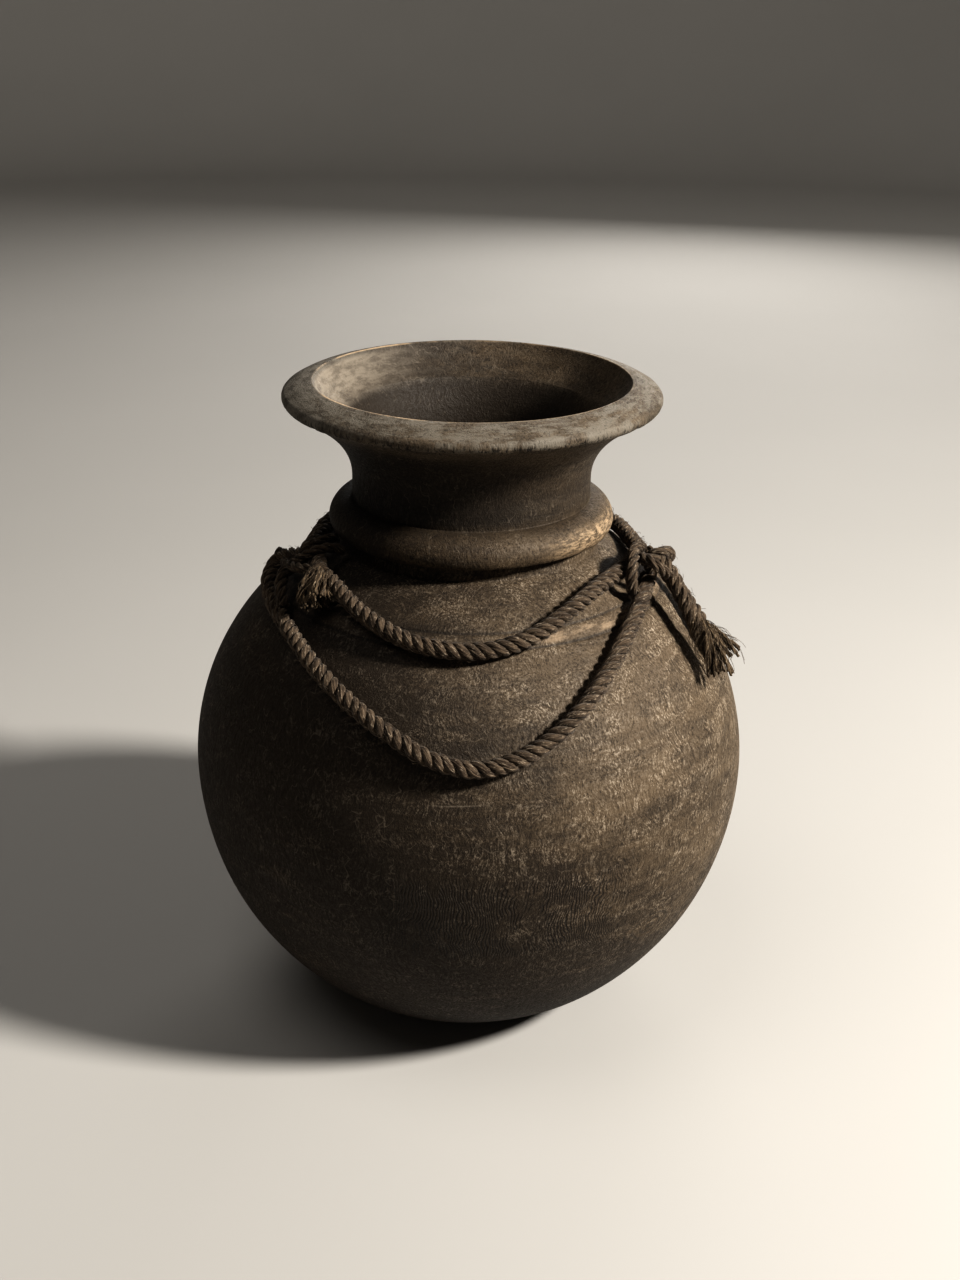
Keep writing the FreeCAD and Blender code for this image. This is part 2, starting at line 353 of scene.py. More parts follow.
def add_strays(builder, path, radius, count, rng):
    """Loose fibres that stand out of the rope's skin."""
    tangents, normals, sides = turning_frame(path)
    for stray in range(count):
        at = rng.randrange(2, len(path) - 2)
        angle = rng.uniform(0, TAU)
        outward = math.cos(angle) * normals[at] + math.sin(angle) * sides[at]
        sideways = math.cos(angle) * sides[at] - math.sin(angle) * normals[at]
        forward = tangents[at] * rng.choice((-1, 1))
        length = rng.uniform(1.5, 5.0) * MM
        lift = rng.uniform(0.3, 1.9) * MM
        lean = rng.uniform(-1.2, 1.2) * MM
        start = path[at] + outward * radius * 0.9
        share = np.linspace(0, 1, STRAY_POINTS)[:, None]
        line = (start + forward * length * share * (1 - 0.3 * share)
                + outward * lift * np.sin(share * 2.2) + sideways * lean * share ** 2)
        width = np.linspace(0.07, 0.035, STRAY_POINTS) * MM * rng.uniform(0.8, 1.5)
        radii = np.repeat(width[:, None], 3, axis=1)
        builder.tube(line, np.tile(outward, (STRAY_POINTS, 1)), radii, np.zeros(STRAY_POINTS),
                     rng.uniform(0, 2))


def make_rope(name, route, material, seed, phase=0.0, loose=0.0):
    path = spline_points(route, STEP)
    builder = Builder()
    add_rope(builder, path, ROPE_RADIUS, seed, phase, loose)
    rng = random.Random(seed)
    strays = round(distance_along(path)[-1] / MM * ROPE_STRAYS)
    add_strays(builder, path, ROPE_RADIUS, strays, rng)
    return builder.piece(name, material), path


def make_knot(name, routes, material, seed):
    builder = Builder()
    rng = random.Random(seed)
    for index, (radius, route) in enumerate(routes.values()):
        path = spline_points(route, STEP)
        add_rope(builder, path, radius, seed + STRANDS * index, phase=KNOT_PHASE * index)
        strays = round(distance_along(path)[-1] / MM * KNOT_STRAYS)
        add_strays(builder, path, radius, strays, rng)
    return builder.piece(name, material)


# ---------------------------------------------------------------- frayed ends

LOCKS = 8                   # clumps that the yarns of a frayed end gather into
BUNDLE_TWIST = 2.6          # radians along a bundle of loose yarns
LOCK_TWIST = 4.0            # radians along one of its locks
GOLDEN_TURN = 0.382         # share of a turn between neighbours, which spreads them evenly
GATHER_FROM = 0.20          # share of a yarn's length where it starts to join its lock
GATHER_OVER = 0.45          # and over which it joins it
LOCK_SPREAD = 0.25          # how much further apart the locks are at their ends
YARN_TAPER = 0.25
YARN_RIDGE = 0.16           # height of a loose yarn's three ridges over its radius
FRAY_STEP = 0.55 * MM
YARN_SIDES = 8
HAIR_SIDES = 4


def add_loose_yarn(builder, centre, frame, widths, polar, lock, length, size, sides, rng):
    """One yarn of a bundle. It drifts towards its lock's own line near its end."""
    tangents, normals, across = frame
    rows = len(centre)
    share = np.linspace(0, 1, rows)
    angle, ring = polar
    spot = ring * np.exp(1j * angle)
    middle = lock["ring"] * np.exp(1j * lock["angle"])
    gather = lock["gather"] * np.clip((share - GATHER_FROM) / GATHER_OVER, 0, 1)
    own_turn = np.exp(1j * LOCK_TWIST * share * lock["twist"])
    spot = middle * (1 + LOCK_SPREAD * share) + (spot - middle) * (1 - gather) * own_turn
    spot = spot * np.exp(1j * BUNDLE_TWIST * share * (2 - share) * lock["twist"]) * widths
    bend = lock["sway"] * share ** 2 * np.sin(share * lock["curl"] + lock["wave"])
    own = rng.uniform(0.16, 0.36) * MM * np.sin(share * rng.uniform(12, 24) + rng.uniform(0, TAU))
    spot = spot + 1j * (bend + own) + own * rng.uniform(-1, 1)
    line = centre + normals * spot.real[:, None] + across * spot.imag[:, None]
    last = max(6, round(rows * length))
    line, normals = line[:last], normals[:last]
    width = size * (1 - YARN_TAPER * np.linspace(0, 1, last))
    ridge = 1 + YARN_RIDGE * np.cos(np.arange(sides) * TAU * 3 / sides)
    spin = np.linspace(0, rng.uniform(3, 7), last)
    builder.tube(line, normals, width[:, None] * ridge[None], spin, rng.uniform(0, 2))


def make_fray(name, route, widths, material, seed, yarns, size, hairs, sway, twist=1.0,
              gather=0.62):
    """A rope's end come undone: a bundle of yarns that part into locks, and fine hairs."""
    builder = Builder()
    rng = random.Random(seed)
    centre = spline_points(route, FRAY_STEP)
    along = distance_along(centre)
    frame = turning_frame(centre)
    widths = np.interp(along / along[-1], np.linspace(0, 1, len(widths)), widths)
    locks = [{"angle": TAU * index * GOLDEN_TURN, "ring": math.sqrt((index + 0.6) / LOCKS),
              "sway": rng.uniform(-1, 1) * sway, "curl": rng.uniform(4, 9),
              "wave": rng.uniform(0, TAU), "length": rng.uniform(0.86, 1.0), "twist": twist,
              "gather": gather}
             for index in range(LOCKS)]
    for index in range(yarns):
        angle, ring = TAU * index * GOLDEN_TURN, 0.9 * math.sqrt((index + 0.5) / yarns)
        lock = min(locks, key=lambda one: abs(one["ring"] * np.exp(1j * one["angle"])
                                              - ring * np.exp(1j * angle)))
        length = lock["length"] * rng.uniform(0.90, 1.0)
        add_loose_yarn(builder, centre, frame, widths, (angle, ring), lock, length,
                       size * rng.uniform(0.8, 1.15), YARN_SIDES, rng)
    for hair in range(hairs):
        lock = rng.choice(locks)
        polar = (rng.uniform(0, TAU), rng.uniform(0.7, 1.15))
        add_loose_yarn(builder, centre, frame, widths, polar, lock, rng.uniform(0.5, 1.0),
                       rng.uniform(0.06, 0.11) * MM, HAIR_SIDES, rng)
    return builder.piece(name, material)


# ---------------------------------------------------------------- vessel outline

BELLY_RADIUS = 0.1100
BELLY_HEIGHT = 0.1030
BELLY_UP = 0.1010
BELLY_DOWN = 0.1145
BASE_EDGE = 0.0015
SHOULDER_TOP = 0.1934
UNDERCUT_RADIUS = 0.0486
UNDERCUT_BOTTOM = 0.1961
UNDERCUT_TOP = 0.1976
RING_EDGE = (0.0536, 0.1996)
RING_SIDE = (0.0545, 0.2014)
RING_WIDEST = (0.0547, 0.2026)
RING_TOP = 0.2110
RING_ROUND = (0.0046, 0.0048)
NECK_RADIUS = 0.0456
NECK_TOP = 0.2190
FLARE_START = 0.0130
FLARE_POLE = (0.0570, 0.2410)
LIP_UNDER = (0.0686, 0.2473)
LIP_WIDEST = (0.0712, 0.2501)
LIP_SHOULDER = (0.0694, 0.2524)
LIP_CROWN = (0.0649, 0.2545)
MOUTH_EDGE = (0.0597, 0.2557)
FUNNEL_POLES = [(0.0566, 0.2508), (0.0526, 0.2468)]
FUNNEL_FOOT = (0.0482, 0.2436)
THROAT_POLES = [(0.0452, 0.2394), (0.0410, 0.2330)]
THROAT_TOP = (0.0410, 0.2240)
THROAT_RADIUS = 0.0410
CAVITY_RADIUS = 0.1010
CAVITY_UP = 0.0920
CAVITY_DOWN = 0.1000
FLOOR_HEIGHT = 0.0140

GROOVES = (0.1814, 0.1771)      # heights of the two lines cut round the shoulder
GROOVE_DEPTH = 0.36 * MM
GROOVE_WIDTH = 0.42 * MM
EDGE_WIDTH = 0.35 * MM          # how soft the outline's corners look
AROUND = 320                    # columns of the mesh round the axis
FINE_SHOULDER = (0.1745, 0.1835)    # heights between which the outline has finer rows
AXIS_GAP = 0.1 * MM             # radius at which the bottom's rows stop short of the axis
UNEVEN = 0.16 * MM              # the whole surface's gentle unevenness
UNEVEN_SCALE = 28
# Dents along the ring's lower edge and the lip's: depth, noise scale and threshold.
RING_DENTS = (1.1 * MM, 160, 0.28)
LIP_DENTS = (0.9 * MM, 260, 0.15)
RING_DENT_WIDTH = 1.2 * MM
LIP_DENT_WIDTH = 1.6 * MM
DENT_HEIGHT = LIP_UNDER[1] + MM     # where the lip's dents are deepest


def ellipse(across, up, start, end, count):
    heights = np.linspace(math.asin((start - BELLY_HEIGHT) / up),
                          math.asin((end - BELLY_HEIGHT) / up), count)
    return np.stack([across * np.cos(heights), BELLY_HEIGHT + up * np.sin(heights)], axis=1)


def straight(start, end, count):
    share = np.linspace(0, 1, count)[:, None]
    return np.array(start) * (1 - share) + np.array(end) * share


def bezier(poles, count):
    share = np.linspace(0, 1, count)[:, None]
    one, two, three, four = (np.array(pole) for pole in poles)
    return ((1 - share) ** 3 * one + 3 * share * (1 - share) ** 2 * two
            + 3 * share ** 2 * (1 - share) * three + share ** 3 * four)


def arc(start, middle, end, count):
    """Points on the circle through three places."""
    start, middle, end = (complex(*where) for where in (start, middle, end))
    first, second = middle - start, end - start
    scale = 2 * (first.real * second.imag - first.imag * second.real)
    centre = start + complex(
        (second.imag * abs(first) ** 2 - first.imag * abs(second) ** 2) / scale,
        (first.real * abs(second) ** 2 - second.real * abs(first) ** 2) / scale)
    begin = math.atan2((start - centre).imag, (start - centre).real)
    sweep = ((end - centre) / (start - centre))
    turn = math.atan2(sweep.imag, sweep.real)
    angles = begin + np.linspace(0, turn, count)
    radius = abs(start - centre)
    return np.stack([centre.real + radius * np.cos(angles),
                     centre.imag + radius * np.sin(angles)], axis=1)


def vessel_outline():
    """Radius and height along the whole section, from the base out, over and inside."""
    def belly_radius(height, across, up):
        return across * math.sqrt(1 - ((height - BELLY_HEIGHT) / up) ** 2)

    base_radius = belly_radius(BASE_EDGE, BELLY_RADIUS, BELLY_DOWN)
    shoulder_radius = belly_radius(SHOULDER_TOP, BELLY_RADIUS, BELLY_UP)
    floor_radius = belly_radius(FLOOR_HEIGHT, CAVITY_RADIUS, CAVITY_DOWN)
    cavity_top = BELLY_HEIGHT + CAVITY_UP * math.sqrt(1 - (THROAT_RADIUS / CAVITY_RADIUS) ** 2)
    ring_radius, ring_height = RING_WIDEST
    round_out, round_up = RING_ROUND
    spans = [
        straight((AXIS_GAP, 0), (base_radius - BASE_EDGE, 0), 8),
        straight((base_radius - BASE_EDGE, 0), (base_radius, BASE_EDGE), 3),
        ellipse(BELLY_RADIUS, BELLY_DOWN, BASE_EDGE, BELLY_HEIGHT, 46),
        ellipse(BELLY_RADIUS, BELLY_UP, BELLY_HEIGHT, FINE_SHOULDER[0], 46),
        ellipse(BELLY_RADIUS, BELLY_UP, *FINE_SHOULDER, 34),
        ellipse(BELLY_RADIUS, BELLY_UP, FINE_SHOULDER[1], SHOULDER_TOP, 14),
        straight((shoulder_radius, SHOULDER_TOP), (UNDERCUT_RADIUS, UNDERCUT_BOTTOM), 4),
        straight((UNDERCUT_RADIUS, UNDERCUT_BOTTOM), (UNDERCUT_RADIUS, UNDERCUT_TOP), 3),
        straight((UNDERCUT_RADIUS, UNDERCUT_TOP), RING_EDGE, 5),
        arc(RING_EDGE, RING_SIDE, RING_WIDEST, 5),
        bezier([RING_WIDEST, (ring_radius, ring_height + round_up),
                (NECK_RADIUS + round_out, RING_TOP), (NECK_RADIUS, RING_TOP)], 16),
        straight((NECK_RADIUS, RING_TOP), (NECK_RADIUS, NECK_TOP), 6),
        bezier([(NECK_RADIUS, NECK_TOP), (NECK_RADIUS, NECK_TOP + FLARE_START),
                FLARE_POLE, LIP_UNDER], 24),
        arc(LIP_UNDER, LIP_WIDEST, LIP_SHOULDER, 9),
        arc(LIP_SHOULDER, LIP_CROWN, MOUTH_EDGE, 9),
        bezier([MOUTH_EDGE, *FUNNEL_POLES, FUNNEL_FOOT], 12),
        bezier([FUNNEL_FOOT, *THROAT_POLES, THROAT_TOP], 9),
        straight(THROAT_TOP, (THROAT_RADIUS, cavity_top), 8),
        ellipse(CAVITY_RADIUS, CAVITY_UP, cavity_top, BELLY_HEIGHT, 12),
        ellipse(CAVITY_RADIUS, CAVITY_DOWN, BELLY_HEIGHT, FLOOR_HEIGHT, 12),
        straight((floor_radius, FLOOR_HEIGHT), (AXIS_GAP, FLOOR_HEIGHT), 4),
    ]
    rows = [spans[0][:1]]
    for span in spans:
        beside = [end + (near - end) * min(0.4, EDGE_WIDTH / np.linalg.norm(near - end))
                  for end, near in ((span[0], span[1]), (span[-1], span[-2]))]
        rows += [beside[0][None], span[1:-1], beside[1][None], span[-1:]]
    return np.concatenate(rows)


def dent(where, near, dents):
    """How far one place is dented, near being 1 on the edge and falling off beside it."""
    depth, scale, threshold = dents
    return near * depth * max(0, noise.noise(where * scale) - threshold) if near > 0.05 else 0


def make_vessel(material):
    outline = vessel_outline()
    along = unit(np.gradient(outline, axis=0))
    facing = np.stack([along[:, 1], -along[:, 0]], axis=1)
    rows = len(outline)
    push = np.zeros((rows, AROUND))
    outer = np.arange(rows) < np.argmax(outline[:, 1])
    for groove in GROOVES:
        near = np.exp(-((outline[:, 1] - groove) / GROOVE_WIDTH) ** 2) * outer
        push -= GROOVE_DEPTH * near[:, None]
    angles = TAU * np.arange(AROUND) / AROUND
    for row, (radius, height) in enumerate(outline):
        ring_near = math.exp(-((height - RING_EDGE[1]) / RING_DENT_WIDTH) ** 2) * outer[row]
        lip_near = math.exp(-((height - DENT_HEIGHT) / LIP_DENT_WIDTH) ** 2) * outer[row]
        for column, angle in enumerate(angles):
            where = Vector((radius * math.cos(angle), radius * math.sin(angle), height))
            push[row, column] += UNEVEN * noise.noise(where * UNEVEN_SCALE)
            push[row, column] -= dent(where, ring_near, RING_DENTS)
            push[row, column] -= dent(where, lip_near, LIP_DENTS)
    radius = outline[:, 0, None] + facing[:, 0, None] * push
    height = outline[:, 1, None] + facing[:, 1, None] * push
    height[outline[:, 1] == 0] = 0
    corners = np.stack([radius * np.cos(angles), radius * np.sin(angles), height], axis=-1)
    grid = np.arange(rows * AROUND).reshape(rows, AROUND)
    ahead = np.roll(grid, -1, axis=1)
    faces = np.stack([grid[:-1], ahead[:-1], ahead[1:], grid[1:]], axis=-1).reshape(-1, 4)
    corners = np.concatenate([corners.reshape(-1, 3), [(0, 0, 0), (0, 0, FLOOR_HEIGHT)]])
    caps = [[rows * AROUND, far, near] for near, far in zip(grid[0], ahead[0])]
    caps += [[rows * AROUND + 1, near, far] for near, far in zip(grid[-1], ahead[-1])]
    return add_mesh("turned_vessel", corners, faces.tolist() + caps, material)


# ---------------------------------------------------------------- materials

class Nodes:
    """Short ways to add the nodes of one material."""

    def __init__(self, name):
        self.material = bpy.data.materials.new(name)
        self.material.use_nodes = True
        self.tree = self.material.node_tree
        self.shader = self.tree.nodes["Principled BSDF"]

    def add(self, kind, **settings):
        node = self.tree.nodes.new(kind)
        for name, value in settings.items():
            setattr(node, name, value)
        return node

    def feed(self, socket, value):
        if isinstance(value, bpy.types.NodeSocket):
            self.tree.links.new(value, socket)
        else:
            socket.default_value = value

    def math(self, operation, *values):
        node = self.add("ShaderNodeMath", operation=operation)
        for socket, value in zip(node.inputs, values):
            self.feed(socket, value)
        return node.outputs[0]

    def plus(self, one, two):
        return self.math("ADD", one, two)

    def times(self, *values):
        """All the values multiplied together."""
        product = values[0]
        for value in values[1:]:
            product = self.math("MULTIPLY", product, value)
        return product

    def weigh(self, first, *others):
        """The sum of some pairs of a value and its weight, each pair multiplied."""
        total = self.times(*first)
        for pair in others:
            total = self.plus(total, self.times(*pair))
        return total

    def place(self, scale=(1, 1, 1), shift=(0, 0, 0), source=None):
        if source is None:
            source = self.add("ShaderNodeTexCoord").outputs["Object"]
        node = self.add("ShaderNodeMapping")
        self.feed(node.inputs["Vector"], source)
        node.inputs["Scale"].default_value = scale
        node.inputs["Location"].default_value = shift
        return node.outputs[0]

    def noise(self, where, scale, detail=3.0, rough=0.55, output="Fac"):
        node = self.add("ShaderNodeTexNoise")
        self.feed(node.inputs["Vector"], where)
        node.inputs["Scale"].default_value = scale
        node.inputs["Detail"].default_value = detail
        node.inputs["Roughness"].default_value = rough
        return node.outputs[output]

    def step(self, value, low, high, low_out=0.0, high_out=1.0):
        """A smooth step: low_out below low, high_out above high."""
        node = self.add("ShaderNodeMapRange", interpolation_type="SMOOTHSTEP")
        for socket, number in zip(node.inputs, (value, low, high, low_out, high_out)):
            self.feed(socket, number)
        return node.outputs[0]

    def band(self, value, middle, inner, outer):
        """1 within inner of the middle, falling to 0 at outer from it."""
        off = self.math("ABSOLUTE", self.math("SUBTRACT", value, middle))
        return self.step(off, inner, outer, 1.0, 0.0)

    def mix(self, share, one, two):
        node = self.add("ShaderNodeMix", data_type="RGBA")
        self.feed(node.inputs["Factor"], share)
        self.feed(node.inputs["A"], one)
        self.feed(node.inputs["B"], two)
        return node.outputs["Result"]

    def bump(self, height, strength, distance, normal=None):
        node = self.add("ShaderNodeBump")
        node.inputs["Strength"].default_value = strength
        node.inputs["Distance"].default_value = distance
        self.feed(node.inputs["Height"], height)
        if normal is not None:
            self.feed(node.inputs["Normal"], normal)
        return node.outputs[0]


def colour(red, green, blue):
    return (red, green, blue, 1.0)


# The dark stain colour is also used as painted shade in the throat.
STAIN_DARK_AND_SHADE = colour(0.022, 0.0146, 0.0082)
PAINTED_SHADE = colour(0.010, 0.0068, 0.0042)         # darkest: painted shade under the lip and low down
STAIN_LIGHT = colour(0.090, 0.0640, 0.0385)
PORE = colour(0.008, 0.0052, 0.0032)
# Pale dust, also used as painted sheen and painted light where the key light falls.
DUST_AND_SHEEN = colour(0.330, 0.278, 0.218)
# Pale worn wood between the shoulder's lines, painted lighter towards the key light.
RUBBED_AND_LIT = colour(0.240, 0.178, 0.120)
BARE = colour(0.42, 0.31, 0.20)
# Dust on the lip, also painted light on its left side.
RIM_DUST_AND_LIGHT = colour(0.150, 0.133, 0.109)

KEY_LIGHT_SIDE = (5.6, -2.0, 3.8)       # weights of x, y and z: high on the upper right, towards the key light, where light is painted into the colour
GRAIN_WANDER = (0.014, 0.014, 0.022)
STROKE_SCALE = 1050             # noise scale of the raised upright strokes
GRAIN_SCALE = 1700              # and of the fine grains among them
PAINTED_SHADE_LOW = (0.006, 0.050)       # heights between which the painted shade low down ends
PAINTED_SHADE_UNDER_LIP = (0.2270, 0.0120, 0.0210)    # height, inner and outer half width of the painted shade under the lip
NECK_SHADE_HEIGHTS = (0.190, 0.205)     # heights between which the dust fades up the neck: painted shade under the ring and lip
SCRATCHES = ((70, 0.7, 0.007, 0.12), (150, 0.2, 0.012, 0.14))   # scale, place, width, share
COMB_LINES = 600        # sine turns, in radians: one stroke each 1.1 mm round the belly
COMB_PLACE = (-82, 0.0870)      # azimuth in degrees and height of the combed band's middle
KNOT_PLACE = (-49, 0.0670)      # and of a knot in the wood
KNOT_SIZE = (0.014, 0.008)      # its half width and half height
KNOT_LINES = 21                 # sine turns, in radians, over one half width
PALE_LINE_HEIGHT = 0.1336
PALE_LINE_AZIMUTH = -92
RING_MIDDLE = 0.2040
LIP_FACE = (0.2462, 0.2500)     # heights between which the lip's outside begins
MOUTH_FACE = (0.2405, 0.2440)   # and the mouth's dusty part
NICK_HEIGHT = 0.2478


class Wood(Nodes):
    """Dark stained wood, turned, with raised upright grain and pale dust on it, and painted light
    and shade: paler towards the key light, darker low down, under the lip and in the throat.
    """

    def __init__(self, name):
        super().__init__(name)
        split = self.add("ShaderNodeSeparateXYZ")
        self.feed(split.inputs[0], self.place())
        self.x, self.y, self.z = split.outputs
        self.radius = self.math("SQRT", self.weigh((self.x, self.x), (self.y, self.y)))
        self.azimuth = self.math("ARCTAN2", self.y, self.x)
        self.toward_key_light = self.weigh(*zip((self.x, self.y, self.z), KEY_LIGHT_SIDE))
        self.outside = self.step(self.radius, MOUTH_EDGE[0] - 0.0006, MOUTH_EDGE[0] + 0.0006)
        self.relief = self.grain()
        self.clouds = self.noise(self.place(scale=(1, 1, 1.5)), 22, 6, 0.66)
        self.bands = self.noise(self.place(scale=(1, 1, 7)), 30, 6, 0.68)
        patches = self.noise(self.place(scale=(1, 1, 2.2), shift=(0.3, 0.1, 0)), 56, 5, 0.72)
        self.smears = self.noise(self.place(scale=(1, 1, 5), shift=(0.1, 0.4, 0.2)), 90, 4, 0.7)
        self.patchy = self.weigh((patches, 0.65), (self.smears, 0.35))
        self.smudges = self.noise(self.place(scale=(6, 6, 330), source=self.turning()),
                                  1.0, 5, 0.72)

    def turning(self):
        """Places spread out round the axis, so noise on them runs along the turning."""
        level = self.plus(self.radius, self.times(self.z, 0.3))
        join = self.add("ShaderNodeCombineXYZ")
        for socket, value in zip(join.inputs, (self.math("DIVIDE", self.x, self.radius),
                                               self.math("DIVIDE", self.y, self.radius), level)):
            self.feed(socket, value)
        return join.outputs[0]

    def grain(self):
        """The raised grain runs upright but wanders, so its strokes curl in places."""
        wander = self.noise(self.place(scale=(1, 1, 1.3)), 40, 2, 0.5, "Color")
        curled = self.add("ShaderNodeVectorMath", operation="MULTIPLY_ADD")
        self.feed(curled.inputs[0], wander)
        curled.inputs[1].default_value = GRAIN_WANDER
        self.feed(curled.inputs[2], self.place())
        strokes = self.noise(self.place(scale=(1, 1, 0.30), source=curled.outputs[0]),
                             STROKE_SCALE, 3, 0.75)
        grains = self.noise(self.place(scale=(1, 1, 0.7)), GRAIN_SCALE, 2, 0.8)
        return self.weigh((strokes, 0.6), (grains, 0.4))

    def stain(self):
        """Cloudy stain with soft bands from the turning, painted lighter towards the key light,
        with painted shade low down and under the lip.
        """
        tone = self.weigh((self.clouds, 0.4), (self.bands, 0.35), (self.relief, 0.45))
        # Painted light: the stain is lighter towards the key light, on the upper right.
        tone_and_painted_light = self.plus(tone, self.step(self.toward_key_light, 0.55, 1.00, -0.16, 0.05))
        tone_and_painted_light = self.plus(tone_and_painted_light, self.step(self.patchy, 0.42, 0.60, -0.025, 0.03))
        base = self.mix(self.step(tone_and_painted_light, 0.46, 0.78), STAIN_DARK_AND_SHADE, STAIN_LIGHT)
        # Painted shade low down and under the lip, fading towards the key light.
        painted_shade_mask = self.plus(self.step(self.z, *PAINTED_SHADE_LOW, 0.85, 0.0),
                         self.times(self.band(self.z, *PAINTED_SHADE_UNDER_LIP), 0.88))
        painted_shade_mask = self.times(painted_shade_mask, self.step(self.toward_key_light, 0.95, 1.25, 1.0, 0.2))
        base = self.mix(painted_shade_mask, base, PAINTED_SHADE)
        return self.mix(self.step(self.relief, 0.36, 0.47, 0.7, 0.0), base, PORE)

    def dust(self, base):
        """Pale dust on the raised grain, in patches, with painted sheen: most on the upper right
        towards the key light.
        """
        # Dust and painted sheen: more of it towards the key light.
        dust_and_sheen_mask = self.times(self.step(self.patchy, 0.44, 0.62, 0.08, 0.85),
                           self.step(self.toward_key_light, 0.40, 1.25, 0.20, 1.0),
                           # Less dust up the neck: painted shade there.
                           self.step(self.z, *NECK_SHADE_HEIGHTS, 1.0, 0.16))
        return self.mix(self.times(self.step(self.relief, 0.49, 0.62), dust_and_sheen_mask), base, DUST_AND_SHEEN)

    def scratches(self, base):
        """Fine crooked scratches and veins, broken up, shown most towards the key light as painted
        light.
        """
        for scale, seed, width, share in SCRATCHES:
            lines = self.noise(self.place(scale=(1, 1, 0.8), shift=(seed, 0, 0)), scale, 2, 0.5)
            broken = self.step(self.noise(self.place(shift=(0, seed, 0)), 160, 2), 0.50, 0.58)
            # The scratches show most towards the key light: painted light.
            vein_and_light = self.times(self.band(lines, 0.5, width * 0.3, width), broken,
                              self.step(self.toward_key_light, 0.30, 1.0, 0.15, share))
            base = self.mix(vein_and_light, base, DUST_AND_SHEEN)
        return base

    def combing(self):
        """A band of long upright strokes low on the front, left by the tool."""
        turn, height = COMB_PLACE
        wobble = self.times(self.noise(self.place(), 45, 3), 0.14)
        strokes = self.math("SINE", self.times(self.plus(self.azimuth, wobble), COMB_LINES))
        gaps = self.step(self.noise(self.place(scale=(1, 1, 0.4)), 120, 2), 0.40, 0.52)
        return self.times(self.band(self.azimuth, math.radians(turn), 0.25, 0.55),
                          self.band(self.z, height, 0.012, 0.021), gaps,
                          self.step(strokes, -0.2, 0.8))

    def knot(self, base):
        """A knot in the wood: oval lines round one place."""
        turn, height = KNOT_PLACE
        across = self.math("DIVIDE", self.math("SUBTRACT", self.azimuth, math.radians(turn)),
                           KNOT_SIZE[0] / BELLY_RADIUS)
        upward = self.math("DIVIDE", self.math("SUBTRACT", self.z, height), KNOT_SIZE[1])
        oval = self.math("SQRT", self.weigh((across, across), (upward, upward)))
        oval = self.plus(oval, self.times(self.noise(self.place(), 120, 2), 0.5))
        swirl = self.times(self.step(self.math("SINE", self.times(oval, KNOT_LINES)), 0.1, 0.8),
                           self.step(oval, 1.0, 1.6, 0.5, 0.0))
        return self.mix(swirl, base, PORE)

    def turned_lines(self, base):
        """A thin pale line across the front, and the two lines cut round the shoulder."""
        height = self.plus(self.z, self.times(self.noise(self.place(), 30, 1), 0.002))
        thin = self.times(self.band(height, PALE_LINE_HEIGHT, 0.0001, 0.0004),
                          self.band(self.azimuth, math.radians(PALE_LINE_AZIMUTH), 0.03, 0.13))
        base = self.mix(self.times(thin, 0.20), base, DUST_AND_SHEEN)
        for groove in GROOVES:
            base = self.mix(self.times(self.band(self.z, groove, 0.0001, 0.0006), 0.55), base, PORE)
        # Between those two the wood is worn pale by rubbing, and painted lighter towards the key
        # light, most on the right.
        rubbed_and_lit = self.times(self.band(self.z, sum(GROOVES) / 2, 0.0006, 0.0019),
                            self.step(self.smears, 0.42, 0.62, 0.1, 0.85),
                            self.step(self.toward_key_light, 0.85, 1.0, 0.12, 1.0))
        return self.mix(rubbed_and_lit, base, RUBBED_AND_LIT)

    def worn_ring(self, base):
        """Bare tan wood where the ring is worn, on the right."""
        right = self.step(self.math("SUBTRACT", self.x, self.times(self.y, 0.4)), 0.040, 0.062)
        streaks = self.noise(self.place(scale=(1, 1, 4)), 260, 4, 0.75)
        bare = self.times(self.band(self.z, RING_MIDDLE, 0.0020, 0.0056), right,
                          self.step(streaks, 0.42, 0.62, 0.05, 0.75))
        return self.mix(bare, base, BARE)

    def lip_and_mouth(self, base):
        """Smudged dust on the lip and in the mouth, painted shade down in the throat, painted light
        on the left, and wear along the lip's inner edge.
        """
        lip = self.times(self.step(self.z, *LIP_FACE), self.outside)
        mouth = self.step(self.z, *MOUTH_FACE)
        inner = MOUTH_EDGE[0]
        # Painted shade down in the throat.
        throat = self.times(self.step(self.z, 0.2420, 0.2436, 0.6, 0.0),
                            self.times(self.step(self.z, 0.2150, 0.2300),
                                       self.step(self.radius, 0.0450, 0.0490, 1, 0)))
        base = self.mix(throat, base, STAIN_DARK_AND_SHADE)
        smeared = self.step(self.smudges, 0.41, 0.58)
        dust = self.weigh((lip, 0.80), (mouth, 0.10))
        dust = self.times(dust, self.plus(self.times(smeared, 0.75), 0.15))
        base = self.mix(dust, base, RIM_DUST_AND_LIGHT)
        # More of it on the lip's left side, and on the left inside the mouth: dust and painted
        # light, where light falls on the lip's left and the left inner wall.
        left = self.times(self.step(self.x, -0.066, -0.018, 0.75, 0.0),
                          self.step(self.z, 0.2440, 0.2475),
                          self.step(self.smudges, 0.36, 0.60, 0.4, 1.0))
        base = self.mix(left, base, RIM_DUST_AND_LIGHT)
        inside = self.times(self.step(self.x, -0.062, -0.010, 0.42, 0.0),
                            self.step(self.z, 0.2405, 0.2450),
                            self.step(self.radius, inner - 0.0016, inner - 0.0004, 1.0, 0.0),
                            self.step(self.smudges, 0.36, 0.60, 0.5, 1.0))
        base = self.mix(inside, base, DUST_AND_SHEEN)
        base = self.mix(self.times(lip, self.step(self.relief, 0.36, 0.45, 0.6, 0.0)), base, PORE)
        edge = self.times(self.band(self.radius, inner + 0.0002, 0.0002, 0.0006),
                          self.step(self.z, 0.2535, 0.2545),
                          self.step(self.x, -0.030, 0.010, 0.75, 0.25),
                          self.step(self.clouds, 0.40, 0.52))
        return self.mix(edge, base, BARE)

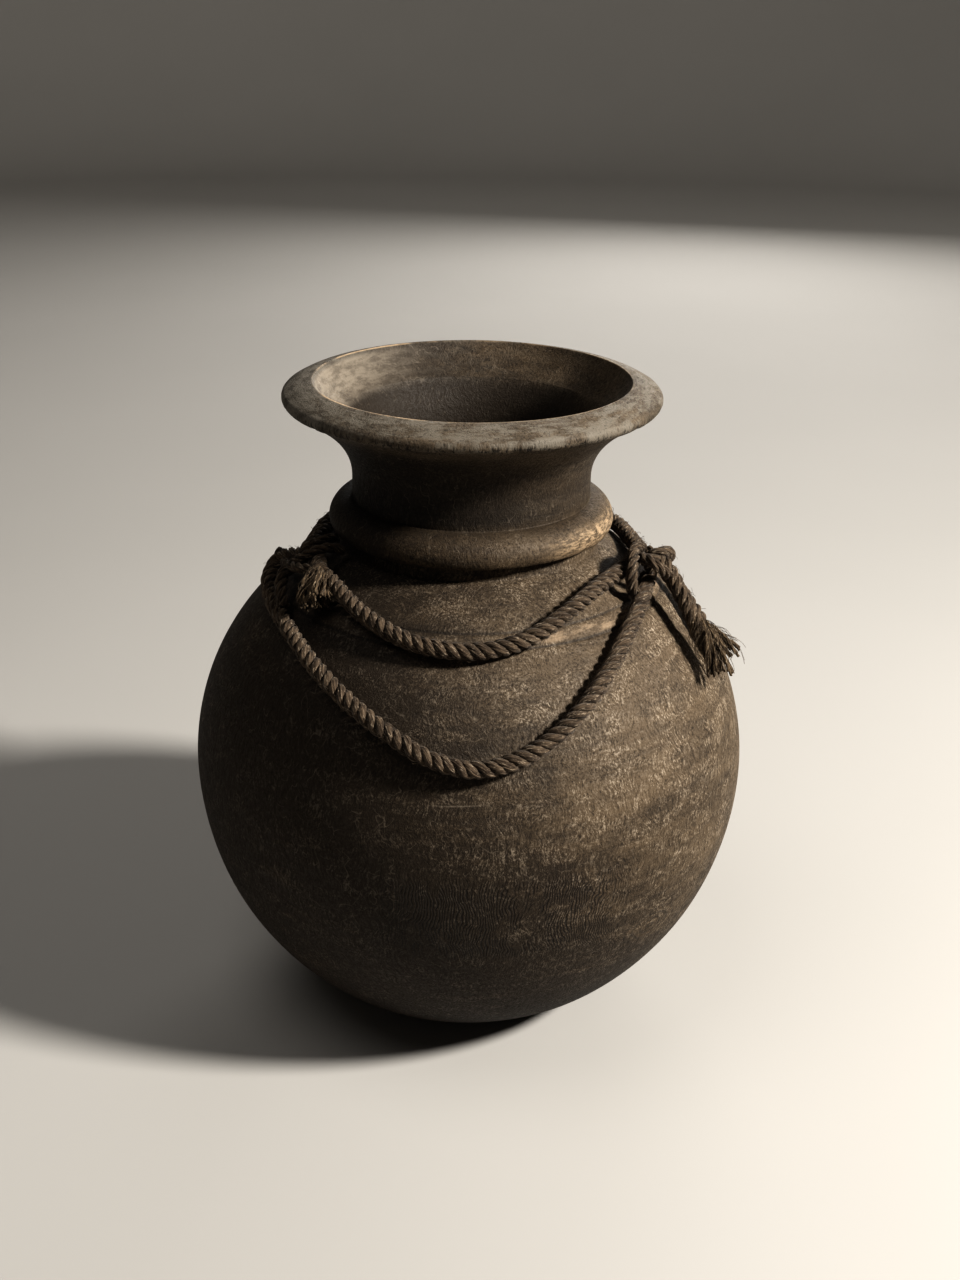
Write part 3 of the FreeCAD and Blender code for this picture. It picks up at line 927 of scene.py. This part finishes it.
    def nicks(self):
        """End grain: upright nicks along the lip's lower edge."""
        ends = self.noise(self.place(scale=(1, 1, 0.12)), 900, 2, 0.7)
        return self.times(self.band(self.z, NICK_HEIGHT, 0.0012, 0.0032), self.outside,
                          self.step(ends, 0.54, 0.60, 0.0, 0.85))


def wood_material():
    wood = Wood("dark_turned_wood")
    combed, nicked = wood.combing(), wood.nicks()
    base = wood.scratches(wood.dust(wood.stain()))
    base = wood.mix(wood.times(combed, 0.85), base, PORE)
    base = wood.worn_ring(wood.turned_lines(wood.knot(base)))
    base = wood.mix(nicked, wood.lip_and_mouth(base), PORE)
    wood.feed(wood.shader.inputs["Base Color"], base)
    wood.feed(wood.shader.inputs["Roughness"], wood.step(wood.relief, 0.38, 0.62, 0.78, 0.58))
    wood.shader.inputs["Specular IOR Level"].default_value = 0.32
    cuts = wood.weigh((combed, 0.35), (nicked, 0.4))
    normal = wood.bump(wood.math("SUBTRACT", wood.relief, cuts), 0.9, 0.00055)
    normal = wood.bump(wood.plus(wood.bands, wood.patchy), 0.35, 0.0009, normal)
    wood.feed(wood.shader.inputs["Normal"], normal)
    return wood.material


def rope_material(name, dark, light, dust):
    """Dusty plant fibre: fine streaks along each yarn."""
    n = Nodes(name)
    fibre = n.add("ShaderNodeAttribute", attribute_name="fibre").outputs["Vector"]
    streaks = n.noise(n.place(scale=(1, 1, 0.07), source=fibre), 3600, 3, 0.65)
    shreds = n.noise(n.place(scale=(1, 1, 0.22), source=fibre), 1250, 4, 0.7)
    clouds = n.noise(n.place(), 150, 3, 0.6)
    tone = n.weigh((streaks, 0.4), (shreds, 0.4), (clouds, 0.2))
    base = n.mix(n.step(tone, 0.42, 0.62), dark, light)
    flecks = n.noise(n.place(scale=(1, 1, 0.35), source=fibre), 1900, 2, 0.75)
    base = n.mix(n.step(flecks, 0.57, 0.68, 0.0, 0.5), base, dust)
    n.feed(n.shader.inputs["Base Color"], base)
    n.shader.inputs["Roughness"].default_value = 0.85
    n.shader.inputs["Specular IOR Level"].default_value = 0.2
    n.shader.inputs["Sheen Weight"].default_value = 0.08
    n.feed(n.shader.inputs["Normal"], n.bump(n.weigh((streaks, 0.7), (shreds, 0.7)), 1.0, 0.0006))
    return n.material


WOOD = wood_material()
ROPE = rope_material("dusty_rope", colour(0.026, 0.0175, 0.0112),
                     colour(0.118, 0.086, 0.058), colour(0.38, 0.315, 0.24))
FIBRE = rope_material("frayed_fibre", colour(0.028, 0.018, 0.0105),
                      colour(0.150, 0.108, 0.066), colour(0.46, 0.38, 0.28))

# ---------------------------------------------------------------- the pieces

neck_cord, neck_path = make_rope("neck_cord", NECK_ROUTE, ROPE, 1)
upper_cord, upper_path = make_rope("upper_swag_cord", UPPER_SWAG_ROUTE, ROPE, 5)
lower_cord, lower_path = make_rope("lower_swag_cord", LOWER_SWAG_ROUTE, ROPE, 9)
front_tail, front_path = make_rope("front_tail_cord", TAIL_FRONT_ROUTE, ROPE, 13, phase=2.0,
                                   loose=TAIL_LOOSE)
back_tail, back_path = make_rope("back_tail_cord", TAIL_BACK_ROUTE, ROPE, 17, phase=0.6,
                                 loose=TAIL_LOOSE)
right_knot = make_knot("right_knot_rope", RIGHT_KNOT_ROUTES, ROPE, 41)
left_knot = make_knot("left_knot_rope", LEFT_KNOT_ROUTES, ROPE, 61)
front_fray = make_fray("front_tail_fray", FRONT_FRAY_ROUTE, FRONT_FRAY_WIDTHS, FIBRE, 21,
                       40, 0.60 * MM, 70, 2.2 * MM)
back_fray = make_fray("back_tail_fray", BACK_FRAY_ROUTE, BACK_FRAY_WIDTHS, FIBRE, 27,
                      36, 0.60 * MM, 70, 1.8 * MM)
tuft = make_fray("left_tuft", TUFT_ROUTE, TUFT_WIDTHS, FIBRE, 31,
                 44, 0.62 * MM, 90, 1.0 * MM, twist=0.3, gather=0.25)
vessel = make_vessel(WOOD)

for made in (neck_cord, upper_cord, lower_cord, front_tail, back_tail, right_knot, left_knot):
    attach(made, "rope_garland")
for made in (front_fray, back_fray, tuft):
    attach(made, "rope_garland")
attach(vessel, "pot")

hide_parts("vessel")
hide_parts("neck_rope")
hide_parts("upper_swag_rope")
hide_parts("lower_swag_rope")
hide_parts("right_tail_front")
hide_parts("right_tail_back")
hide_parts("right_knot")
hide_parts("left_knot", "left_stub")
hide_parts("right_fray_front")
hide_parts("right_fray_back")
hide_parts("left_fray")


# ---------------------------------------------------------------- floor and light

FLOOR_RADIUS = 2.4          # the floor is flat as far out as this
FLOOR_DISC = 0.6            # its first ring of corners
FLOOR_DROP = 0.2 * MM       # below the pot's base
FLOOR_SIDES = 96
WALL_CURVE = 0.8
WALL_TOP = 3.0
LIGHT_TARGET = Vector((0, 0, 0.13))
WORLD_STRENGTH = 0.018


def make_stage():
    """A round pale floor that curves up all round into a plain backdrop."""
    profile = [(FLOOR_DISC, 0.0), (FLOOR_RADIUS, 0.0)]
    profile += [(FLOOR_RADIUS + WALL_CURVE * math.sin(turn), WALL_CURVE * (1 - math.cos(turn)))
                for turn in np.linspace(0.1, math.pi / 2, 14)]
    profile += [(FLOOR_RADIUS + WALL_CURVE, WALL_TOP)]
    corners = [(radius * math.cos(turn), radius * math.sin(turn), height - FLOOR_DROP)
               for radius, height in profile
               for turn in np.linspace(0, TAU, FLOOR_SIDES, endpoint=False)]
    faces = [tuple(range(FLOOR_SIDES))]
    for low in range(0, FLOOR_SIDES * (len(profile) - 1), FLOOR_SIDES):
        high = low + FLOOR_SIDES
        for step in range(FLOOR_SIDES):
            ahead = (step + 1) % FLOOR_SIDES
            faces.append((low + step, high + step, high + ahead, low + ahead))
    n = Nodes("pale_floor")
    clouds = n.noise(n.place(), 3, 2)
    n.feed(n.shader.inputs["Base Color"],
           n.mix(clouds, colour(0.370, 0.358, 0.340), colour(0.400, 0.386, 0.368)))
    n.shader.inputs["Roughness"].default_value = 0.9
    made = add_mesh("studio_floor", corners, faces, n.material)


def make_light(name, azimuth, elevation, distance, size, power, tint):
    light = bpy.data.lights.new(name, "AREA")
    light.shape = "DISK"
    light.size = size
    light.energy = power
    light.color = tint
    lamp = bpy.data.objects.new(name, light)
    bpy.context.scene.collection.objects.link(lamp)
    turn, lift = math.radians(azimuth), math.radians(elevation)
    towards = Vector((math.cos(turn) * math.cos(lift), math.sin(turn) * math.cos(lift),
                      math.sin(lift)))
    lamp.location = LIGHT_TARGET + towards * distance
    lamp.visible_camera = False
    lamp.rotation_euler = towards.to_track_quat("Z", "Y").to_euler()


def make_world():
    world = bpy.data.worlds.new("studio")
    world.use_nodes = True
    background = world.node_tree.nodes["Background"]
    background.inputs["Color"].default_value = colour(1.0, 0.97, 0.93)
    background.inputs["Strength"].default_value = WORLD_STRENGTH
    bpy.context.scene.world = world


make_stage()
make_world()
make_light("key", -22, 36, 1.6, 0.22, 50, (1.0, 0.968, 0.915))
make_light("overhead", -150, 68, 1.8, 1.2, 6.5, (1.0, 0.98, 0.95))
make_light("back", 78, 20, 1.8, 1.0, 9, (1.0, 0.98, 0.95))
bpy.context.scene.view_settings.view_transform = "Standard"
bpy.context.scene.view_settings.look = "High Contrast"
